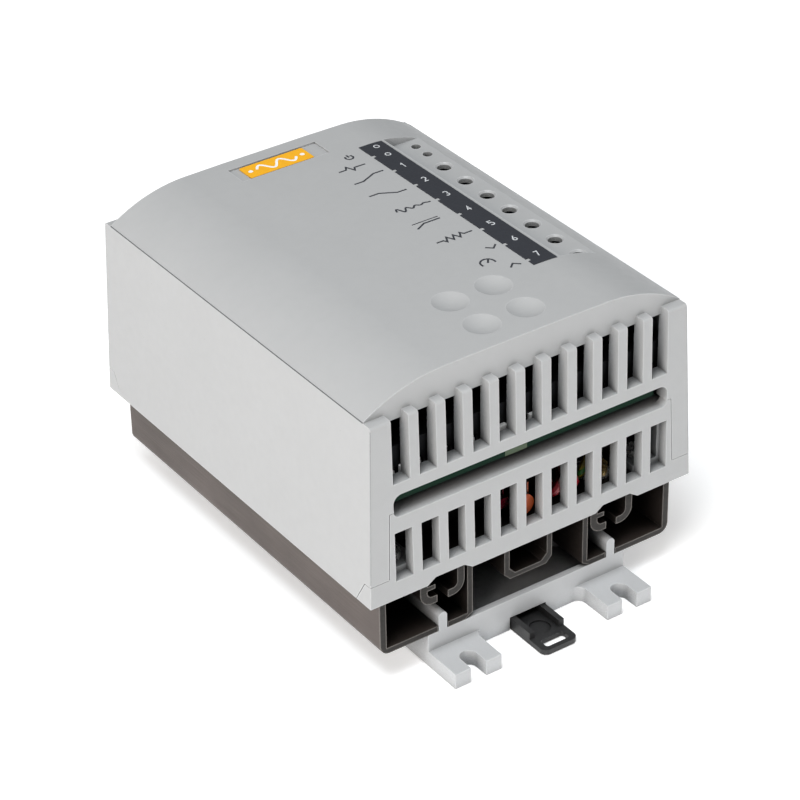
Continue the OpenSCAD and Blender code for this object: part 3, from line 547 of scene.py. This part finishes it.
def flat_mark(name, outlines, material, height_of):
    """Thin solids with the given outlines in plan (millimetres), laid on a surface by height_of(x, y)."""
    whole = bmesh.new()
    for outline in outlines:
        bm = bmesh.new()
        bm.faces.new([bm.verts.new((x * MM, y * MM, 0)) for x, y in outline])
        bmesh.ops.triangulate(bm, faces=bm.faces[:])
        for _ in range(MARK_ROUNDS):
            long_edges = [e for e in bm.edges if e.calc_length() > MARK_CELL]
            if not long_edges:
                break
            bmesh.ops.subdivide_edges(bm, edges=long_edges, cuts=1)
            bmesh.ops.triangulate(bm, faces=bm.faces[:])
        top = bmesh.ops.extrude_face_region(bm, geom=bm.faces[:])
        raised = {v for v in top["geom"] if isinstance(v, bmesh.types.BMVert)}
        for v in bm.verts:
            v.co.z = height_of(v.co.x, v.co.y) + (MARK_THICK if v in raised else -MARK_SINK)
        bmesh.ops.recalc_face_normals(bm, faces=bm.faces[:])
        part = mesh_of("part", bm)
        whole.from_mesh(part)
        bpy.data.meshes.remove(part)
    piece(name, mesh_of(name, whole), material)


def stroke(points, width):
    """Quads of a line of even width with mitred corners, the mitre limited at sharp turns."""
    spine = [Vector(p) for p in points]
    steps = [(b - a).normalized() for a, b in zip(spine, spine[1:])]
    pairs = []
    for i, p in enumerate(spine):
        before = steps[max(i - 1, 0)]
        after = steps[min(i, len(steps) - 1)]
        along = (before + after).normalized()
        reach = width / 2 / max(MITRE_LIMIT, along.dot(before))
        side = Vector((-along.y, along.x)) * reach
        pairs.append((p + side, p - side))
    return [(a[0], a[1], b[1], b[0]) for a, b in zip(pairs, pairs[1:])]


def arc(cx, cy, r, start, end, steps=16):
    """Points along an arc, its start and end in degrees."""
    turns = [math.radians(start + (end - start) * i / steps) for i in range(steps + 1)]
    return [(cx + r * math.cos(t), cy + r * math.sin(t)) for t in turns]


def digit(number, x, y, height, weight):
    """Plain numeral centred on x, y, drawn with strokes."""
    w, h = height * 0.5, height
    x0, x1, y0, y1 = x - w / 2, x + w / 2, y - h / 2, y + h / 2
    shapes = {
        1: [[(x, y0), (x, y1), (x - w * 0.45, y1 - h * 0.25)]],
        2: [arc(x, y1 - w / 2, w / 2, 160, -40) + [(x0, y0), (x1, y0)]],
        3: [arc(x, y + h / 4, h / 4, 150, -80), arc(x, y - h / 4, h / 4, 80, -150)],
        4: [[(x + w * 0.2, y0), (x + w * 0.2, y1), (x0, y0 + h * 0.3), (x1, y0 + h * 0.3)]],
        5: [[(x1, y1), (x0, y1), (x0, y + h * 0.05)] + arc(x, y - h * 0.2, h * 0.3, 120, -140)],
        6: [[(x + w * 0.35, y1), (x - w * 0.3, y)], arc(x, y - h / 4, h / 4, 0, 360, 24)],
        7: [[(x0, y1), (x1, y1), (x - w * 0.15, y0)]],
    }
    return [ring for points in shapes[number] for ring in stroke(points, weight)]


def middle(node):
    """Middle of a node's box in plan, millimetres."""
    low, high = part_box(node)
    return (low.x + high.x) / 2 / MM, (low.y + high.y) / 2 / MM


# Numbers and rings on the dark strip, millimetres: shifts from the strip's middle and from the row
ADJUSTERS = 7
INDICATORS = ("power_indicator", "limit_indicator")
DIGIT_HEIGHT, DIGIT_WEIGHT = 2.3, 0.36
DIGIT_SHIFT_X, DIGIT_SHIFT_Y = 0.4, 1.7
RING_R, RING_WEIGHT = 0.95, 0.32
RING_SHIFT_X, RING_SHIFT_Y = 0.6, 0.9

# White wave between two dots on the label, millimetres
WAVE_LENGTH, WAVE_HEIGHT, WAVE_WEIGHT = 13, 1.7, 0.75
WAVE_TURNS, WAVE_STEPS = 2, 60
DOT_R, DOT_OUT = 0.7, 8.6


def symbols():
    """Generic function symbols beside the rows: (name, strokes as (points, width))."""
    w = LINE
    wave = [(9.6 + 11 * i / 40, 9.3 + 1.6 * math.exp(-i / 18) * math.sin(i * 0.62)) for i in range(41)]
    peaks = [(11.2 + i * 1.1, -10.8 + (1.1 if i % 2 else -1.1)) for i in range(6)]
    zigzag = [(8.4, -10.8), (10.6, -10.8), *peaks, (17.4, -10.8), (20.1, -10.8)]
    return [
        ("mains_mark", [(arc(16.9, 43.3, 1.15, 130, 410), w), ([(16.9, 43.4), (16.9, 44.9)], w)]),
        ("health_mark", [([(9.6, 37.6), (12, 37.6), (12.8, 39), (14, 36.2), (14.8, 37.6), (18.4, 37.6)], w)]),
        ("ramp_up_mark", [([(9.2, 29.3), (12.2, 29.3), (17, 31.5), (20.3, 31.5)], w)]),
        ("ramp_down_mark", [([(8.5, 21.1), (11.6, 21.1), (16.2, 18.6), (19.2, 18.6)], w)]),
        ("stability_mark", [(wave, w)]),
        ("limit_mark", [([(8.7, -1.7), (11.9, 0), (17.2, 0)], w), ([(8.7, 1.1), (17.2, 1.1)], THIN_LINE)]),
        ("compensation_mark", [(zigzag, w)]),
        ("lowest_mark", [([(17.4, -20.4), (19.1, -21.9), (20.8, -20.4)], w)]),
        ("speed_mark", [(arc(13.2, -27.4, 2.1, 200, -20), w), ([(13.2, -27.4), (14.3, -25.9)], w)]),
        ("highest_mark", [([(16.6, -32.9), (18.3, -31.4), (20, -32.9)], w)]),
    ]


def print_marks():
    for name, lines in symbols():
        outlines = [ring for points, width in lines for ring in stroke(points, width)]
        flat_mark(name, outlines, DARK_INK, crown_height)
    strip_x = middle("legend_strip")[0]
    for number in range(1, ADJUSTERS + 1):
        row_y = middle("trimmer_rotor_%d" % number)[1]
        shape = digit(number, strip_x + DIGIT_SHIFT_X, row_y + DIGIT_SHIFT_Y, DIGIT_HEIGHT, DIGIT_WEIGHT)
        flat_mark("row_number_%d" % number, shape, WHITE_INK, strip_height)
    for number, node in enumerate(INDICATORS, 1):
        row_y = middle(node)[1]
        ring = arc(strip_x + RING_SHIFT_X, row_y + RING_SHIFT_Y, RING_R - RING_WEIGHT / 2, 0, 360, 20)
        flat_mark("row_ring_%d" % number, stroke(ring, RING_WEIGHT), WHITE_INK, strip_height)


def print_label():
    mid_x, mid_y = middle("front_label")
    wave = []
    for i in range(WAVE_STEPS + 1):
        share = i / WAVE_STEPS
        turn = 2 * math.pi * WAVE_TURNS * share
        wave.append((mid_x + WAVE_LENGTH * (share - 0.5), mid_y + WAVE_HEIGHT * math.sin(turn)))
    flat_mark("label_wave", stroke(wave, WAVE_WEIGHT), LABEL_WHITE, label_height)
    for number, x in enumerate((mid_x - DOT_OUT, mid_x + DOT_OUT), 1):
        dot = arc(x, mid_y, DOT_R, 0, 360, 24)[:-1]
        flat_mark("label_dot_%d" % number, [dot], LABEL_WHITE, label_height)


# ---- painted shadow in the shut lines of the enclosure, millimetres ----
STEEP = 0.8
ACROSS_STEEP = Vector((1, 0, 0))
ACROSS_LEVEL = Vector((0.3, 0.2, 0.93))


def tube_along(name, points, radius_mm, material, sides=8):
    """Thin round line through points given in metres."""
    bm = bmesh.new()
    rings = []
    for i, p in enumerate(points):
        ahead = (points[min(i + 1, len(points) - 1)] - points[max(i - 1, 0)]).normalized()
        reference = ACROSS_STEEP if abs(ahead.z) > STEEP else ACROSS_LEVEL
        across = ahead.cross(reference).normalized() * radius_mm * MM
        up = ahead.cross(across)
        turns = [2 * math.pi * k / sides for k in range(sides)]
        rings.append([bm.verts.new(p + across * math.cos(t) + up * math.sin(t)) for t in turns])
    for a, b in zip(rings, rings[1:]):
        for k in range(sides):
            bm.faces.new((a[k], a[(k + 1) % sides], b[(k + 1) % sides], b[k]))
    bm.faces.new(rings[0][::-1])
    bm.faces.new(rings[-1])
    bmesh.ops.recalc_face_normals(bm, faces=bm.faces[:])
    piece(name, mesh_of(name, bm), material)


LOWER_EDGE = cover_low.z / MM
HALF_WIDTH = cover_high.x / MM
HALF_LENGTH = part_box("base_housing")[1].y / MM
SIDE_LEAN = 0.038                      # inward lean per millimetre of height
END_LEAN = 0.023
TOP_EDGE_X, TOP_EDGE_H = 50.44, 54.12  # long top edges: from the middle, and above the lower edge
TOP_EDGE_HALF = 61.6
TOP_EDGE_R = 0.22
CORNER_HEIGHTS = (7.5, 30, 53.0)
CORNER_R = 0.15
LINE_SINK = 0.13                       # how far the middle of a line lies inside the surface


def edge_lines():
    """Dark lines along the long top edges and the four upright corners: the mould's shut lines, darkened as
    painted shadow in the gap.
    """
    for sx, side in ((-1, "left"), (1, "right")):
        x = sx * (TOP_EDGE_X - LINE_SINK)
        z = LOWER_EDGE + TOP_EDGE_H - LINE_SINK
        points = [Vector((x, y, z)) * MM for y in (-TOP_EDGE_HALF, 0, TOP_EDGE_HALF)]
        tube_along("edge_line_" + side, points, TOP_EDGE_R, SEAM_SHADOW)
        for sy, end in ((-1, "front"), (1, "rear")):
            points = []
            for h in CORNER_HEIGHTS:
                px = sx * (HALF_WIDTH - SIDE_LEAN * h - LINE_SINK)
                py = sy * (HALF_LENGTH - END_LEAN * h - LINE_SINK)
                points.append(Vector((px, py, LOWER_EDGE + h)) * MM)
            tube_along("corner_line_%s_%s" % (side, end), points, CORNER_R, SEAM_SHADOW)


# ---- small parts seen through the front openings ----
PATCH_X, PATCH_WIDTH = -3.65 * MM, 7.1 * MM
PATCH_PROUD, PATCH_THICK = 0.02 * MM, 0.06 * MM
PATCH_BEVEL = 0.015 * MM


def board_patch():
    """Bare laminate patch on the front edge of the power board."""
    low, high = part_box("power_board")
    bm = bmesh.new()
    bmesh.ops.create_cube(bm, size=1)
    for v in bm.verts:
        v.co.x = PATCH_X + v.co.x * PATCH_WIDTH
        v.co.y = low.y - PATCH_PROUD + v.co.y * PATCH_THICK
        v.co.z = (low.z + high.z) / 2 + v.co.z * (high.z - low.z)
    bmesh.ops.bevel(bm, geom=bm.edges[:], offset=PATCH_BEVEL, segments=1, affect="EDGES")
    piece("board_patch", mesh_of("board_patch", bm), BARE_LAMINATE)


# Near-white tabs behind the front wire slots, a painted glint of the tinned clamps: centre x, centre z,
# width, height
TAB_Y, TAB_DEPTH = -60.0, 1.2
TAB_BEVEL = 0.12 * MM
TABS = [(-38.0, 63.5, 1.3, 2.4), (-15.8, 63.6, 0.6, 1.8), (-6.4, 63.2, 2.4, 2.8), (3.1, 63.2, 1.7, 2.4)]


def clamp_glints():
    bm = bmesh.new()
    for x, z, width, height in TABS:
        for v in bmesh.ops.create_cube(bm, size=1)["verts"]:
            v.co = Vector((x + v.co.x * width, TAB_Y + v.co.y * TAB_DEPTH, z + v.co.z * height)) * MM
    bmesh.ops.bevel(bm, geom=bm.edges[:], offset=TAB_BEVEL, segments=2, affect="EDGES")
    piece("clamp_glints", mesh_of("clamp_glints", bm), CLAMP_GLINT)


# ---- floor ----
FLOOR_HALF = 3.0
FLOOR_GAP = 0.2 * MM
FLOOR_GLOW = 0.4


def make_floor():
    h = FLOOR_HALF
    mesh = bpy.data.meshes.new("floor")
    mesh.from_pydata([(-h, -h, 0), (h, -h, 0), (h, h, 0), (-h, h, 0)], [], [(0, 1, 2, 3)])
    floor = bpy.data.objects.new("floor", mesh)
    bpy.context.scene.collection.objects.link(floor)
    floor.location.z = cad_box[0].z - FLOOR_GAP
    n = Nodes("floor_paper")
    n.fixed(Specular_IOR_Level=0.2, Emission_Color=(1, 1, 1, 1), Emission_Strength=FLOOR_GLOW)
    tone = n.mix(n.noise(80, detail=2), (0.9, 0.9, 0.9), (0.93, 0.93, 0.93))
    mesh.materials.append(n.finish(tone, n.varied(n.noise(20), 0.75, 0.85), inside=1))


def fold_spring():
    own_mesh(nodes["latch_spring"])


make_light()
make_floor()
dress_nodes()
for node, width in SOFT_EDGES_MM.items():
    soften(nodes[node], width)
print_marks()
print_label()
edge_lines()
board_patch()
clamp_glints()
fold_spring()
